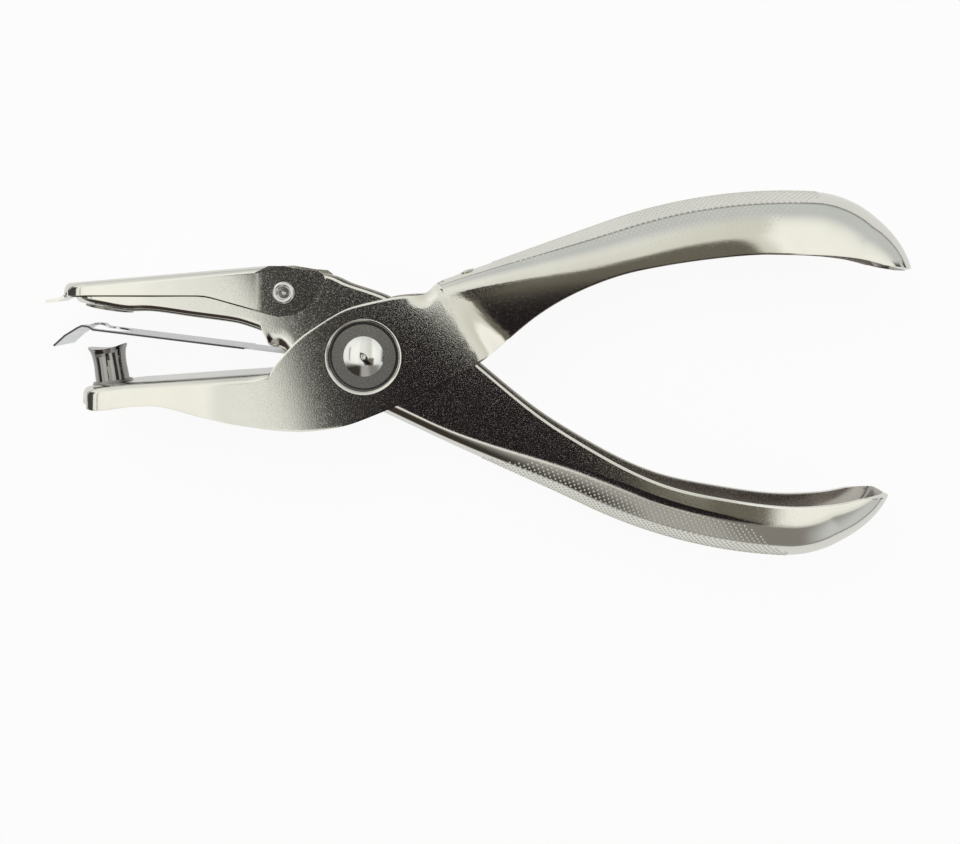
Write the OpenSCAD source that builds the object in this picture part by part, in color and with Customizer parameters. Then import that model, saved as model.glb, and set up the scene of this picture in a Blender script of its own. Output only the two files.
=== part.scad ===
// Single hole punch of the plier kind, lying on its side.
// +Z is the pivot axis, +X points to the handles, the jaws are at -X.
// The origin is on the pivot axis, in the plane of the outer lever's lower cheek.

/* [Levers] */
// Overall width of the outer lever, across both cheeks
lever_w = 14; // [13.6:0.1:16]
// Sheet thickness of both levers
sheet_t = 1.0; // [0.8:0.05:1.1]
// Side play between the inner lever and the drawn recess floors
side_play = 0.05; // [0.03:0.01:0.1]
// Depth of the round recess drawn into each outer cheek
recess_depth = 0.95; // [0.7:0.05:1.1]
// Radius of the recess at its rim
recess_r = 5.65; // [5.3:0.05:6.2]
// Radius of the recess floor
recess_floor_r = 5.15; // [4.4:0.05:5.2]
// Width of the handle section that the inner lever flares to, less than the outer lever's
handle_relief = 0.1; // [0:0.05:0.4]
// Radius of the bend between web and cheek at the jaws
jaw_bend_r = 1.4; // [1.1:0.1:2]
// Height of the crown's rounding along the handles
crown_r = 6.6; // [5:0.1:6.8]

/* [Pivot] */
// Diameter of the main rivet's shank
pivot_d = 4.0; // [3.6:0.1:4.4]
// Running clearance of the inner lever and the sleeve round the shank
pivot_clear = 0.05; // [0.02:0.01:0.1]
// Diameter of the rivet's domed heads
head_d = 6.3; // [5.6:0.1:7.5]
// Height of the domed heads
head_h = 0.85; // [0.5:0.05:0.9]
// Outside diameter of the spacer sleeve
sleeve_d = 5.4; // [5:0.1:5.6]
// End play of the sleeve between the inner lever's walls
sleeve_play = 0.05; // [0.02:0.01:0.15]

/* [Return spring] */
// Wire diameter
wire_d = 1.1; // [0.8:0.1:1.2]
// Mean radius of the coil
coil_r = 3.5; // [3.4:0.05:3.9]
// Number of turns in the coil
coil_turns = 3; // [2:1:3]
// Gap between the coil's ends and the inner lever's walls
coil_side_gap = 0.3; // [0.2:0.05:0.7]
// Height of the leg's hooked end above the handle's web
leg_hook = 1.9; // [1:0.1:2]
// Distance of the spring's hook from the lever's near side
hook_inset = 2.5; // [2.3:0.1:3.5]

/* [Punch and die] */
// Diameter of the punch's cutting lip
lip_d = 6.1; // [5.5:0.05:6.2]
// Diameter of the punch's waist
waist_d = 5.1; // [4.6:0.1:5.4]
// Diameter of the punch at its foot
foot_d = 5.3; // [4.8:0.1:5.8]
// Height of the punch above the jaw
punch_h = 6.0; // [5:0.1:6.2]
// Depth of the saddle in the cutting end
saddle_depth = 0.5; // [0.3:0.1:1.2]
// Lean of the punch towards the nose, in degrees
punch_lean = 9.6; // [7:0.1:11]
// Diameter of the punch's riveted shank
shank_d = 3.6; // [2.6:0.1:4]
// Diameter of the seating collar round the foot
collar_d = 6.4; // [6:0.1:7.4]
// Thickness of the seating collar
collar_t = 0.35; // [0.2:0.05:0.6]
// Distance from the start of the lower jaw's pad to the punch's axis
punch_setback = 4.05; // [3.8:0.05:4.3]
// Radial clearance between the punch's lip and the die
die_clear = 0.15; // [0.12:0.01:0.2]
// Wall of the die's neck where it passes the jaw's web
die_neck_wall = 0.3; // [0.25:0.05:0.4]
// Diameter of the die's collar below the web
die_collar_d = 7.4; // [7.2:0.1:7.8]
// Height of the die's collar below the web
die_collar_h = 0.45; // [0.3:0.05:0.8]

/* [Stripper] */
// Thickness of the spring strip
leaf_t = 0.3; // [0.25:0.05:0.4]
// Width of the strip's blade
leaf_w = 9.2; // [8.8:0.1:10]
// Gap between the stripper's tongue and the inner lever's walls
tongue_gap = 0.5; // [0.3:0.05:1.2]
// Clearance of the strip's hole round the punch's lip
leaf_hole_clear = 0.6; // [0.5:0.05:0.8]
// Length of the turned-down lip at the front
leaf_lip = 4.8; // [3:0.1:5.5]
// Diameter of the two small rivets
anchor_rivet_d = 1.6; // [1.2:0.1:2]

/* [Chip cover] */
// Sheet thickness of the cover
cover_t = 0.5; // [0.4:0.05:0.6]
// Side gap between the cover's flanges and the jaw's walls
cover_gap = 0.15; // [0.1:0.01:0.2]
// Height of the gap between the jaw's rim and the cover's sheet
cover_seat = 0.3; // [0.2:0.05:0.5]
// Outside diameter of the cover's tubular rivets
cover_head_d = 3.5; // [3:0.1:4]
// Shank diameter of the cover's tubular rivets
cover_shank_d = 2.4; // [2:0.1:2.6]
// Bore of the tubular rivets
cover_bore_d = 1.4; // [1:0.1:1.6]
// Height of the rivets' heads
cover_head_h = 0.35; // [0.25:0.05:0.5]
// Running clearance of the ears round the rivets
cover_clear = 0.05; // [0.02:0.01:0.1]
// Width of the finger tab
tab_w = 5; // [3:0.5:8]

/* [Side view] */
// Distance of the handles' crowns from the centre line where the upper one starts
handle_rise = 12.5; // [12:0.1:13.5]
// Slope of the handles' straight stretch, in degrees
handle_slope = 22.5; // [20:0.5:24]
// Length of the upper handle's straight stretch
handle_straight = 27.3; // [22:0.1:34]
// Radius of the handles' long bow
handle_bow_r = 84; // [70:1:100]
// Radius of the handles' turned-in tips
tip_r = 17; // [14:0.5:19]
// Sweep of the turned-in tips, in degrees
tip_turn = 70; // [60:1:76]
// Slope of the lower jaw's web, in degrees
jaw_slope = 6.9; // [5:0.1:8]
// Radius of the lower jaw's nose
nose_r = 2.2; // [1.8:0.1:2.6]
// Length of the lower jaw's pad, up to the nose
pad_length = 6.5; // [6:0.1:7]
// Reach of the lower jaw's round end in plan
nose_reach = 5.6; // [5:0.1:6.2]
// Opening angle of the die above the centre line, in degrees
die_angle = 6.9; // [6:0.1:8]
// Slope of the chip cover's top, in degrees
cover_slope = 7.9; // [7:0.1:9]
// Radius of the chip cover's nose
cover_nose_r = 1.8; // [1.6:0.1:2]
// Place of the cover's hinge along the lever
cover_hinge_x = -12.9; // [-13.5:0.1:-12]
// Height of the cover's hinge above the centre line
cover_hinge_y = 9.2; // [8.6:0.1:9.8]
// Rise of the stripper towards the nose, in degrees
leaf_rise = 4; // [3:0.25:5]
// Radius of the bend at the stripper's root
leaf_bend_r = 1.9; // [1.6:0.05:2.1]

/* [Hidden] */
$fn = 64;
eps = 0.02;
arc_steps = 7;
mid = lever_w / 2;
outer_half = lever_w / 2;
inner_half = outer_half - recess_depth - sheet_t - side_play;
handle_half = outer_half - handle_relief;
cover_half = inner_half + cover_gap + cover_t;
tongue_w = 2 * (inner_half - sheet_t - tongue_gap);
steel = [0.78, 0.77, 0.74];
bright = [0.88, 0.88, 0.86];
dark_steel = [0.45, 0.44, 0.43];

// Rim of the outer lever from the lower jaw's nose to the upper handle's tip
outer_rim = [[-46, -9.8], [-43.6, -10.7], [-41.4, -10.8], [-36.3, -9.9], [-31.6, -9.6], [-25.3, -10.8],
             [-18.9, -11.8], [-10, -12.3], [-3.2, -11.2], [1.4, -9.4], [9.1, -5.5],
             [18.2, 0.1], [27, 8], [34, 12.4], [42, 15.5], [57, 18.5], [68, 19.3],
             [76, 19.1], [82, 17.9]];
// Free front edge of the outer cheeks between the throat and the upper handle
outer_front = [[-14.6, -3.9], [-13.6, -2.0], [-11.4, 0.8], [-9.9, 2.4], [-8.4, 3.6],
               [-5.3, 5.8], [-2.3, 7.5], [3, 9.1], [5.3, 9.7], [11.6, 10.4]];
// Rim of the inner lever behind the chip cover, to the lower handle's tip
inner_rear_rim = [[-9, 12.4], [-5.8, 12], [-3.5, 11.1], [0.5, 10], [2.9, 9.2], [8, 6.6],
                  [13, 3.2], [18.2, -0.9], [27, -7.4], [33, -11], [42, -15.5], [49, -18],
                  [57, -19.4], [68, -20.3], [76, -19.6], [82, -18]];
// Bottom edge of the inner lever's walls in the crossing, from the upper jaw to the handle
inner_bottom = [[-16.4, 3.4], [-15.3, 1.4], [-14.6, 0.7], [-12.8, 0.2], [-10.5, -2.4],
                [-7.5, -5.4], [-4, -7.3], [0, -8.1], [2.8, -8.4]];
// Throat of each jaw, where its web ends
outer_throat = [-14.6, -3.4];
inner_throat = [-16.5, 3.0];

// Smooth height of a curve through points listed by rising x
function slope_at(p, i) =
    let (a = p[max(i - 1, 0)], b = p[min(i + 1, len(p) - 1)]) (b[1] - a[1]) / (b[0] - a[0]);
function segment_of(p, x, i = 0) =
    (i >= len(p) - 2 || x < p[i + 1][0]) ? i : segment_of(p, x, i + 1);
function curve_y(p, x) =
    let (i = segment_of(p, x), w = p[i + 1][0] - p[i][0], s = (x - p[i][0]) / w,
         s2 = s * s, s3 = s2 * s)
    (2 * s3 - 3 * s2 + 1) * p[i][1] + (s3 - 2 * s2 + s) * w * slope_at(p, i)
    + (3 * s2 - 2 * s3) * p[i + 1][1] + (s3 - s2) * w * slope_at(p, i + 1);
function ease(a, b, x) = let (s = min(max((x - a) / (b - a), 0), 1)) s * s * (3 - 2 * s);
function dir(a) = [cos(a), sin(a)];
function arc_pts(c, r, a0, a1, n) = [for (i = [0:n]) c + r * dir(a0 + (a1 - a0) * i / n)];
function unit(v) = v / norm(v);

// Path stations [x, y, heading]: a straight stretch, then arcs given as [radius, turn, steps]
function run(p, h, l, n) = [for (i = [0:n]) concat(p + l * i / n * dir(h), [h])];
function bow(p, h, r, turn, n) =
    let (side = turn > 0 ? 90 : -90, c = p + r * dir(h + side))
    [for (i = [1:n]) concat(c - r * dir(h + turn * i / n + side), [h + turn * i / n])];
function xy(s) = [s[0], s[1]];

// One ring of a channel's skin: the crown lies at c and the rim at r
function ring(c, r, half, ra, t) =
    let (d = norm(r - c), e = (r - c) / d, rz = min(ra, half - 0.4),
         step = 90 / arc_steps,
         skin = [for (i = [0:arc_steps]) [ra - ra * sin(step * i), -(half - rz) - rz * cos(step * i)]],
         lining = [for (i = [0:arc_steps])
                   [ra - (ra - t) * sin(step * i), -(half - rz) - (rz - t) * cos(step * i)]],
         left = concat([[d, -half]], skin),
         right = [for (i = [len(left) - 1:-1:0]) [left[i][0], -left[i][1]]],
         in_left = concat([[d, t - half]], lining),
         in_right = [for (i = [len(in_left) - 1:-1:0]) [in_left[i][0], -in_left[i][1]]],
         flat = concat(left, right, [for (q = [0:2 * len(in_left) - 1])
                let (all = concat(in_left, in_right)) all[2 * len(in_left) - 1 - q]]))
    [for (q = flat) [c[0] + e[0] * q[0], c[1] + e[1] * q[0], mid + q[1]]];

// A closed skin over rings of equal count, each an outer half followed by its inner half
module channel(rings, flip) {
    k = len(rings[0]);
    n = len(rings);
    sides = [for (i = [0:n - 2], j = [0:k - 1])
             let (a = i * k + j, b = i * k + (j + 1) % k, c = a + k, d = b + k)
             each [[a, b, d], [a, d, c]]];
    first = [for (j = [0:k / 2 - 2]) each [[j, k - 2 - j, j + 1], [j, k - 1 - j, k - 2 - j]]];
    last = [for (f = first) [f[0] + (n - 1) * k, f[2] + (n - 1) * k, f[1] + (n - 1) * k]];
    faces = concat(sides, first, last);
    polyhedron(points = [for (r = rings) each r],
               faces = flip ? [for (f = faces) [f[0], f[2], f[1]]] : faces);
}

// A strip of even thickness along a path, seen from the side
function normal_at(p, i) =
    let (v = unit(p[min(i + 1, len(p) - 1)] - p[max(i - 1, 0)])) [-v[1], v[0]];
function strip(p, t) = concat([for (i = [0:len(p) - 1]) p[i] + normal_at(p, i) * t / 2],
                              [for (i = [len(p) - 1:-1:0]) p[i] - normal_at(p, i) * t / 2]);
module across(w) { translate([0, 0, mid - w / 2]) linear_extrude(w) children(); }

// The cover's top line, and the jaw's rim below it
cover_top_start = [-16, 13.2];
cover_front = [-46.8, cover_top_start[1] - (46.8 + cover_top_start[0]) * tan(cover_slope)];
function cover_top_y(x) = cover_top_start[1] + (x - cover_top_start[0]) * tan(cover_slope);
function under_cover_y(x) = cover_top_y(x) - (cover_t + cover_seat) / cos(cover_slope);
inner_rim_all = concat([for (x = [-48, -44, -36, -28, -20, -16]) [x, under_cover_y(x)]],
                       [[-13, under_cover_y(-16) + 0.15]], inner_rear_rim);

// The handles' crowns and rims
handle_start = [11.5, handle_rise];
lower_lead = 10;
function crown(lead) =
    let (p = handle_start - lead * dir(handle_slope),
         a = run(p, handle_slope, handle_straight + lead, 9 + floor(lead / 3)),
         b = bow(xy(a[len(a) - 1]), handle_slope, handle_bow_r, -handle_slope, 8),
         c = bow(xy(b[len(b) - 1]), 0, tip_r, -tip_turn, 11))
    concat(a, b, c);
handle_depth = 10;
tip_depth = 5;
function rim_x(s) =
    let (f = ease(0, tip_turn, -s[2])) s[0] + (handle_depth * (1 - f) + tip_depth * f) * sin(s[2]);
function tip_half(s, half) = half - 1.8 * ease(20, tip_turn, -s[2]);
function bend_at(x) = jaw_bend_r + 0.8 + (crown_r - jaw_bend_r - 0.8) * ease(10, 42, x);
function limited(ra, c, r) = min(ra, 0.85 * norm(r - c));
outer_handle = [for (s = crown(0))
    let (c = xy(s), x = rim_x(s), r = [x, curve_y(outer_rim, x)])
    ring(c, r, tip_half(s, outer_half), limited(bend_at(s[0]), c, r), sheet_t)];
inner_handle = [for (s = crown(lower_lead))
    let (c = [s[0], -s[1]], x = rim_x(s), r = [x, curve_y(inner_rim_all, x)],
         half = inner_half + (handle_half - inner_half) * ease(8, 58, s[0]))
    ring(c, r, tip_half(s, half), limited(bend_at(s[0]), c, r), sheet_t)];

// The lower jaw's flat pad, which the punch stands on
web_end = 37;
pad_start = [-web_end, outer_throat[1] - (web_end + outer_throat[0]) * tan(jaw_slope)];
pad_heading = 180 + punch_lean;
punch_seat = pad_start + punch_setback * dir(pad_heading);

// The punch, and the die on the same circle round the pivot
punch_axis = dir(90 + punch_lean);
lip_centre = punch_seat + (punch_h - saddle_depth / 2) * punch_axis;
die_axis = dir(90 - die_angle);
die_face = norm(lip_centre) * dir(180 - die_angle);
die_seat = die_face + die_collar_h * die_axis;
pad_along = dir(-die_angle);
die_bore_d = lip_d + 2 * die_clear;
die_neck_d = die_bore_d + 2 * die_neck_wall;
pad_rear = die_seat + (die_collar_d / 2 + 0.4) * pad_along;
pad_front = die_seat - (die_collar_d / 2 + 0.1) * pad_along;

// The lower jaw's web line, from the throat to the nose
jaw_heading = 180 + jaw_slope;
nose_from = 40.6;
function lower_jaw_half(x) =
    (outer_half - 0.8 * ease(22, 38, -x))
        * sqrt(1 - pow(min(max((-x - nose_from) / nose_reach, 0), 0.86), 2));
lower_jaw_path =
    let (a = run(outer_throat, jaw_heading, norm(pad_start - outer_throat), 6),
         b = run(pad_start, pad_heading, pad_length, 4), p = xy(b[4]),
         c = bow(p, pad_heading, nose_r, 78, 6), e = c[5])
    concat([for (i = [0:5]) a[i]], b, c, [concat(xy(e) + 0.8 * dir(e[2]), [e[2]])]);
outer_jaw = [for (s = lower_jaw_path)
    let (c = xy(s), f = ease(pad_heading, pad_heading + 78, s[2]),
         x = s[0] + 2.6 * f, r = [x, curve_y(outer_rim, x)])
    ring(c, r, lower_jaw_half(s[0]), limited(jaw_bend_r + 0.6 * f, c, r), sheet_t)];

// The upper jaw's web line and the cover's shell round it
function cover_half_at(x) = cover_half * sqrt(1 - pow(min(max((-x - 43.5) / 5.6, 0), 0.86), 2));
upper_jaw_path =
    let (pts = [inner_throat, [-18.5, 3.6], [-21, 4.1], [-27, 4.6], [-33.5, 5.15], pad_rear,
                die_seat, pad_front + 1.5 * pad_along, pad_front],
         h = 180 - die_angle, c = bow(pad_front, h, 1.5, -72, 5))
    concat([for (p = pts) concat(p, [h])], c);
inner_jaw = [for (s = upper_jaw_path)
    let (c = xy(s), f = ease(0, 72, 180 - die_angle - s[2]),
         x = s[0] + 2.6 * f, r = [x, curve_y(inner_rim_all, x) - 0.1 * f],
         half = cover_half_at(s[0] - 1.5) - cover_t - cover_gap)
    ring(c, r, half, limited(jaw_bend_r - 0.2, c, r), sheet_t)];
flange_line = [[-48.6, 6.5], [-43, 7], [-34, 7.45], [-26, 7.87], [-24.4, 7.74], [-20, 6.75], [-15.2, 5.7]];
cover_path =
    let (a = run(cover_top_start, 180 + cover_slope, norm(cover_front - cover_top_start), 10),
         c = bow(cover_front, 180 + cover_slope, cover_nose_r, 76, 6), e = c[5])
    concat(a, c, [concat(xy(e) + 0.7 * dir(e[2]), [e[2]])]);
cover_shell = [for (s = cover_path)
    let (c = xy(s), f = ease(180 + cover_slope, 256 + cover_slope, s[2]),
         x = s[0] + 2.4 * f, r = [x, curve_y(flange_line, x)])
    ring(c, r, cover_half_at(s[0]), limited(1.1, c, r), cover_t)];

// The stripper's root, bent round the end of the lower jaw's web
root_x = -11.5;
root_turn = 90 - jaw_slope;
under_web_y = outer_throat[1] - sheet_t / cos(jaw_slope)
              + (root_x + leaf_bend_r * cos(root_turn) - outer_throat[0]) * tan(jaw_slope);
leaf_root = [root_x, under_web_y - leaf_t / 2 + leaf_bend_r * sin(root_turn)];
leaf_gap = 6;
leaf_line_start = leaf_root + leaf_bend_r * dir(90 + leaf_rise);
function leaf_at(x) = leaf_line_start + (leaf_line_start[0] - x) / cos(leaf_rise) * dir(180 - leaf_rise);
leaf_bump = [leaf_at(-42.9), leaf_at(-43.6) + [0, 0.4], leaf_at(-44.6) + [0, 0.4], leaf_at(-45.3)];
leaf_path = concat(arc_pts(leaf_root, leaf_bend_r, 0, 90 + leaf_rise, 6), leaf_bump,
                   [leaf_at(-45.3) + leaf_lip / 2 * dir(214), leaf_at(-45.3) + leaf_lip * dir(219)]);
leaf_hole_x = punch_seat[0] - 0.6;
anchor_line_start = leaf_root + leaf_bend_r * dir(-root_turn);
anchor_length = 13;
anchor_path = concat(arc_pts(leaf_root, leaf_bend_r, -leaf_gap, -root_turn, 5),
                     [anchor_line_start + anchor_length * dir(jaw_heading)]);

// The return spring's wire: hooked leg, coil round the sleeve, lower leg
hook_foot = [15.4, handle_rise + (15.4 - 11.5) * tan(handle_slope)]
            + (sheet_t + wire_d / 2 + 0.25) * dir(handle_slope - 90);
hook_end = hook_foot + leg_hook * dir(handle_slope + 90);
lower_end = [16, -handle_rise - (16 - 11.5) * tan(handle_slope)]
            + (sheet_t + wire_d / 2 + 0.2) * dir(90 - handle_slope);
function tangent_at(p, side) = atan2(p[1], p[0]) + side * acos(coil_r / norm(p));
coil_from = tangent_at(hook_foot, 1);
coil_sweep = (360 + tangent_at(lower_end, -1)) - coil_from + 360 * coil_turns;
coil_rise = 2 * (inner_half - sheet_t - coil_side_gap) - wire_d;
coil_rings = round(coil_sweep / 45);
hook_z = lever_w - hook_inset;
wire_path = concat(
    [concat(hook_end, [hook_z]), concat(hook_foot, [hook_z]),
     concat((hook_foot + coil_r * dir(coil_from)) / 2, [mid + coil_rise / 2])],
    [for (i = [0:coil_rings]) let (f = i / coil_rings)
     concat(coil_r * dir(coil_from + coil_sweep * f), [mid + coil_rise * (0.5 - f)])],
    [concat((lower_end + coil_r * dir(coil_from + coil_sweep)) / 2, [mid - coil_rise / 2]),
     concat(lower_end, [mid - coil_rise / 2])]);
coil_gap = min([for (i = [3:len(wire_path) - 9], j = [i + 6:len(wire_path) - 3])
                norm(wire_path[i] - wire_path[j])]) - wire_d;
echo("least gap between the spring's turns", coil_gap);

// A tube of six sides along a path, its rings set upright from the coil's axis
module tube(path, d) {
    n = len(path);
    sides = 6;
    rings = [for (i = [0:n - 1])
        let (v = unit(path[min(i + 1, n - 1)] - path[max(i - 1, 0)]),
             u = unit(cross([0, 0, 1], v)), w = cross(v, u))
        for (k = [0:sides - 1]) path[i] + d / 2 * (u * cos(60 * k) + w * sin(60 * k))];
    skin = [for (i = [0:n - 2], k = [0:sides - 1])
            let (a = i * sides + k, b = i * sides + (k + 1) % sides)
            each [[a, a + sides, b], [b, a + sides, b + sides]]];
    first = [for (k = [1:sides - 2]) [0, k, k + 1]];
    last = [for (k = [1:sides - 2]) [for (q = [0, k + 1, k]) (n - 1) * sides + q]];
    polyhedron(points = rings, faces = concat(skin, first, last));
}

module on_both_sides() {
    children();
    translate([0, 0, lever_w]) mirror([0, 0, 1]) children();
}
// Local frames with +Z along the punch's or the die's axis
module upright_at(p, lean) {
    translate([p[0], p[1], mid]) rotate([0, 0, lean]) rotate([-90, 0, 0]) children();
}
module at_punch() { upright_at(punch_seat + eps / 2 * punch_axis, punch_lean) children(); }
module at_die() { upright_at(die_seat - eps / 2 * die_axis, -die_angle) children(); }

// The web's hole that holds the spring's hooked end
spring_hole_d = wire_d + 0.6;
module at_spring_hole() {
    translate([0, 0, hook_z - mid]) upright_at(hook_foot, handle_slope) children();
}

// Where the two small rivets pass the stripper's root and the lower jaw's web
rivet_places = [6.5, 10.5];
module at_anchor_rivets() {
    for (l = rivet_places) {
        upright_at(anchor_line_start + l * dir(jaw_heading), jaw_slope) children();
    }
}

module outer_cheek() {
    left = -20;
    right = 19;
    bottom = [for (x = [left:1.5:right + 1.5]) [x, curve_y(outer_rim, x)]];
    linear_extrude(sheet_t)
        polygon(concat(bottom, [[right - 2, 10.4]], [for (i = [len(outer_front) - 1:-1:0]) outer_front[i]],
                       [[outer_throat[0] - 1, outer_throat[1] - jaw_bend_r - 0.3],
                        [left, outer_throat[1] - (-left + outer_throat[0]) * tan(jaw_slope)
                               - jaw_bend_r - 0.3]]));
    cylinder(h = recess_depth + sheet_t, r1 = recess_r + 0.9, r2 = recess_floor_r + 0.7);
}

module outer_lever() {
    color(steel) difference() {
        union() {
            channel(outer_handle, true);
            channel(outer_jaw, false);
            on_both_sides() outer_cheek();
        }
        on_both_sides() {
            translate([0, 0, -eps]) cylinder(h = recess_depth + eps, r1 = recess_r, r2 = recess_floor_r);
        }
        translate([0, 0, -1]) cylinder(h = lever_w + 2, d = pivot_d + 2 * eps);
        at_punch() translate([0, 0, -sheet_t - 1]) cylinder(h = sheet_t + 2, d = shank_d + 2 * eps);
        at_spring_hole() cylinder(h = 4, d = spring_hole_d);
        at_anchor_rivets() cylinder(h = sheet_t + leaf_t + 1, d = anchor_rivet_d + 2 * eps);
    }
}

module inner_wall() {
    left = -22;
    right = 17;
    top = [for (x = [right:-1.5:left]) [x, curve_y(inner_rim_all, x)]];
    jaw_web = [for (p = upper_jaw_path) if (p[2] == upper_jaw_path[0][2]) [-p[0], p[1]]];
    translate([0, 0, mid - inner_half]) linear_extrude(sheet_t)
        polygon(concat(top, [[left, curve_y(jaw_web, -left) + jaw_bend_r + 0.2]],
                       inner_bottom, [[10, -9.9], [15, -11.5]]));
}

module inner_lever() {
    color(steel) difference() {
        union() {
            channel(inner_handle, false);
            channel(inner_jaw, true);
            on_both_sides() inner_wall();
        }
        translate([0, 0, -1]) cylinder(h = lever_w + 2, d = pivot_d + 2 * pivot_clear);
        at_die() translate([0, 0, -1]) cylinder(h = sheet_t + 2, d = die_neck_d + 2 * eps);
        translate([cover_hinge_x, cover_hinge_y, -1]) cylinder(h = lever_w + 2, d = cover_shank_d + 2 * eps);
    }
}

module pivot_rivet() {
    dome_r = (head_d * head_d / 4 + head_h * head_h) / (2 * head_h);
    color(bright) {
        translate([0, 0, recess_depth]) cylinder(h = lever_w - 2 * recess_depth, d = pivot_d);
        on_both_sides() difference() {
            intersection() {
                translate([0, 0, recess_depth - head_h]) cylinder(h = head_h, d = head_d);
                translate([0, 0, recess_depth - head_h + dome_r]) sphere(r = dome_r, $fn = 96);
            }
            translate([0, 0, recess_depth - head_h - eps]) cylinder(h = 0.35, r1 = 0.7, r2 = 0.2);
        }
    }
}

module pivot_sleeve() {
    length = 2 * (inner_half - sheet_t - sleeve_play);
    color(dark_steel) translate([0, 0, mid - length / 2]) difference() {
        cylinder(h = length, d = sleeve_d);
        translate([0, 0, -1]) cylinder(h = length + 2, d = pivot_d + 2 * pivot_clear);
    }
}

module return_spring() { color(dark_steel) tube(wire_path, wire_d); }

module punch() {
    horn_tip = 0.1;
    saddle_w = lip_d / 2 - horn_tip;
    saddle_r = (saddle_w * saddle_w + saddle_depth * saddle_depth) / (2 * saddle_depth);
    flare = (lip_d - waist_d) / 2;
    color(bright) at_punch() {
        difference() {
            rotate_extrude() polygon(concat(
                [[0, 0], [foot_d / 2, 0], [foot_d / 2, collar_t], [waist_d / 2 + 0.05, punch_h * 0.3],
                 [waist_d / 2, punch_h * 0.45]],
                [for (a = [0:15:75]) [waist_d / 2 + flare * (1 - cos(a)), punch_h * (0.5 + 0.42 * sin(a))]],
                [[lip_d / 2, punch_h * 0.95], [lip_d / 2, punch_h], [0, punch_h]]));
            translate([0, 0, punch_h + saddle_r - saddle_depth]) rotate([90, 0, 0])
                cylinder(h = lip_d * 2, r = saddle_r, center = true);
        }
        translate([0, 0, -sheet_t - 0.15]) cylinder(h = sheet_t + 0.15, d = shank_d);
    }
}

module punch_collar() {
    color(dark_steel) at_punch() difference() {
        cylinder(h = collar_t, d1 = collar_d, d2 = collar_d - 0.4);
        translate([0, 0, -1]) cylinder(h = collar_t + 2, d = foot_d + 2 * eps);
    }
}

module die_bush() {
    stake = 0.25;
    color(dark_steel) at_die() difference() {
        union() {
            translate([0, 0, -die_collar_h]) cylinder(h = die_collar_h, d = die_collar_d);
            translate([0, 0, -eps]) cylinder(h = sheet_t + stake + eps, d = die_neck_d);
        }
        translate([0, 0, -2]) cylinder(h = 6, d = die_bore_d);
    }
}

module stripper_leaf() {
    shoulder_x = -19;
    hole = [leaf_hole_x, leaf_at(leaf_hole_x)[1]];
    color(bright) difference() {
        across(leaf_w) polygon(strip(leaf_path, leaf_t));
        translate([hole[0], hole[1], mid]) rotate([0, 0, -leaf_rise]) rotate([-90, 0, 0])
            cylinder(h = 3, d = lip_d + 2 * leaf_hole_clear, center = true);
        on_both_sides() translate([shoulder_x, -10, -1]) cube([20, 20, mid - tongue_w / 2 + 1]);
    }
}

module stripper_anchor() {
    color(bright) difference() {
        across(tongue_w) polygon(strip(anchor_path, leaf_t));
        at_anchor_rivets() translate([0, 0, -2]) cylinder(h = 4, d = anchor_rivet_d + 2 * eps);
    }
}

module stripper_rivets() {
    color(steel) at_anchor_rivets() {
        translate([0, 0, -leaf_t / 2]) cylinder(h = leaf_t + sheet_t, d = anchor_rivet_d);
        translate([0, 0, -leaf_t / 2 - 0.4])
            cylinder(h = 0.4, d1 = anchor_rivet_d, d2 = anchor_rivet_d + 1.2);
    }
}

module cover_ear() {
    ear = [[-20, cover_top_y(-20) - 1.2], [-17, cover_top_y(-17) - 0.9], [-15.4, 13.2],
           [-13, 13.35], [-9.7, 12.95],
           [-7.6, 12.9], [-6.8, 12.4], [-6.5, 11.6], [-8.4, 8.6], [-9.9, 6.7], [-11.3, 5.8], [-13.6, 5.4]];
    foot = [for (x = [-15.2:-1.2:-20]) [x, curve_y(flange_line, x)]];
    translate([0, 0, mid - cover_half]) linear_extrude(cover_t) polygon(concat(ear, foot));
}

module chip_cover() {
    color(steel) difference() {
        union() {
            channel(cover_shell, false);
            on_both_sides() cover_ear();
            across(tab_w) polygon(strip([[-48.2, 6.7], [-49.2, 6.1], [-51.1, 5.75]], cover_t));
        }
        translate([cover_hinge_x, cover_hinge_y, -1])
            cylinder(h = lever_w + 2, d = cover_shank_d + 2 * cover_clear);
    }
}

module cover_rivet() {
    outside = mid - cover_half - 0.05;
    color(bright) translate([cover_hinge_x, cover_hinge_y, 0]) difference() {
        union() {
            translate([0, 0, outside - cover_head_h])
                cylinder(h = cover_head_h, d1 = cover_head_d - 0.3, d2 = cover_head_d);
            translate([0, 0, outside - eps])
                cylinder(h = mid - inner_half + sheet_t + 0.3 - outside + eps, d = cover_shank_d);
        }
        translate([0, 0, -1]) cylinder(h = lever_w, d = cover_bore_d);
    }
}
module cover_rivet_far() { cover_rivet(); }
module cover_rivet_near() { translate([0, 0, lever_w]) mirror([0, 0, 1]) cover_rivet(); }

outer_lever();
inner_lever();
pivot_rivet();
pivot_sleeve();
return_spring();
punch();
punch_collar();
die_bush();
stripper_leaf();
stripper_anchor();
stripper_rivets();
chip_cover();
cover_rivet_near();
cover_rivet_far();
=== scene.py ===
import math

import bmesh
import bpy
from mathutils import Matrix, Vector


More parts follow.
